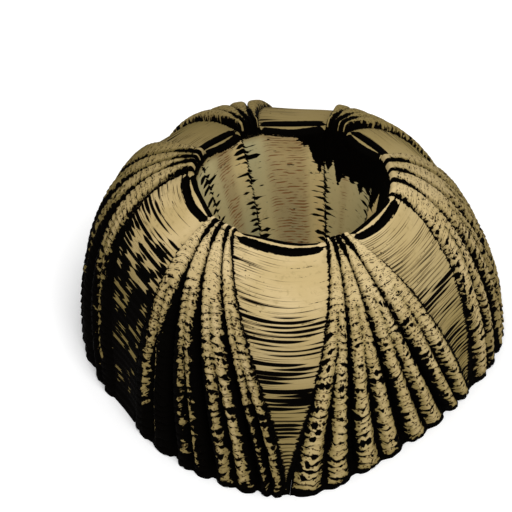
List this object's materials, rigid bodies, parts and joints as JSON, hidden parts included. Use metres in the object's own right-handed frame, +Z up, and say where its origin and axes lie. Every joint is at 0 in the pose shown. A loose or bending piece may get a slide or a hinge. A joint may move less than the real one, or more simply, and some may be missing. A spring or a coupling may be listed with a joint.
{
  "type": "whale barnacle shell",
  "caption": "Low crown-shaped whale barnacle shell: ribbed wall plates with smooth flanks round an open chamber, standing on its flat base.",
  "frame": {"origin": "middle of the shell's box, on the plane that its base rests on", "axes": "+Z up through the open top, -Y towards the front of the picture, +X towards the carina plate"},
  "size_m": [0.0616, 0.0598, 0.0345],
  "materials": {
    "shell_pale": "matt calcite, pale tan with dark grooves",
    "shell_tan": "matt calcite, tan with dark grooves",
    "shell_dark": "matt calcite, olive tan with dark grooves"
  },
  "bodies": {
    "root": {"lateral_plate_front": "shell_tan", "carinolateral_plate_front": "shell_pale", "carina_plate": "shell_tan", "carinolateral_plate_back": "shell_pale", "lateral_plate_back": "shell_tan", "rostrum_plate": "shell_dark"}
  },
  "joints": []
}
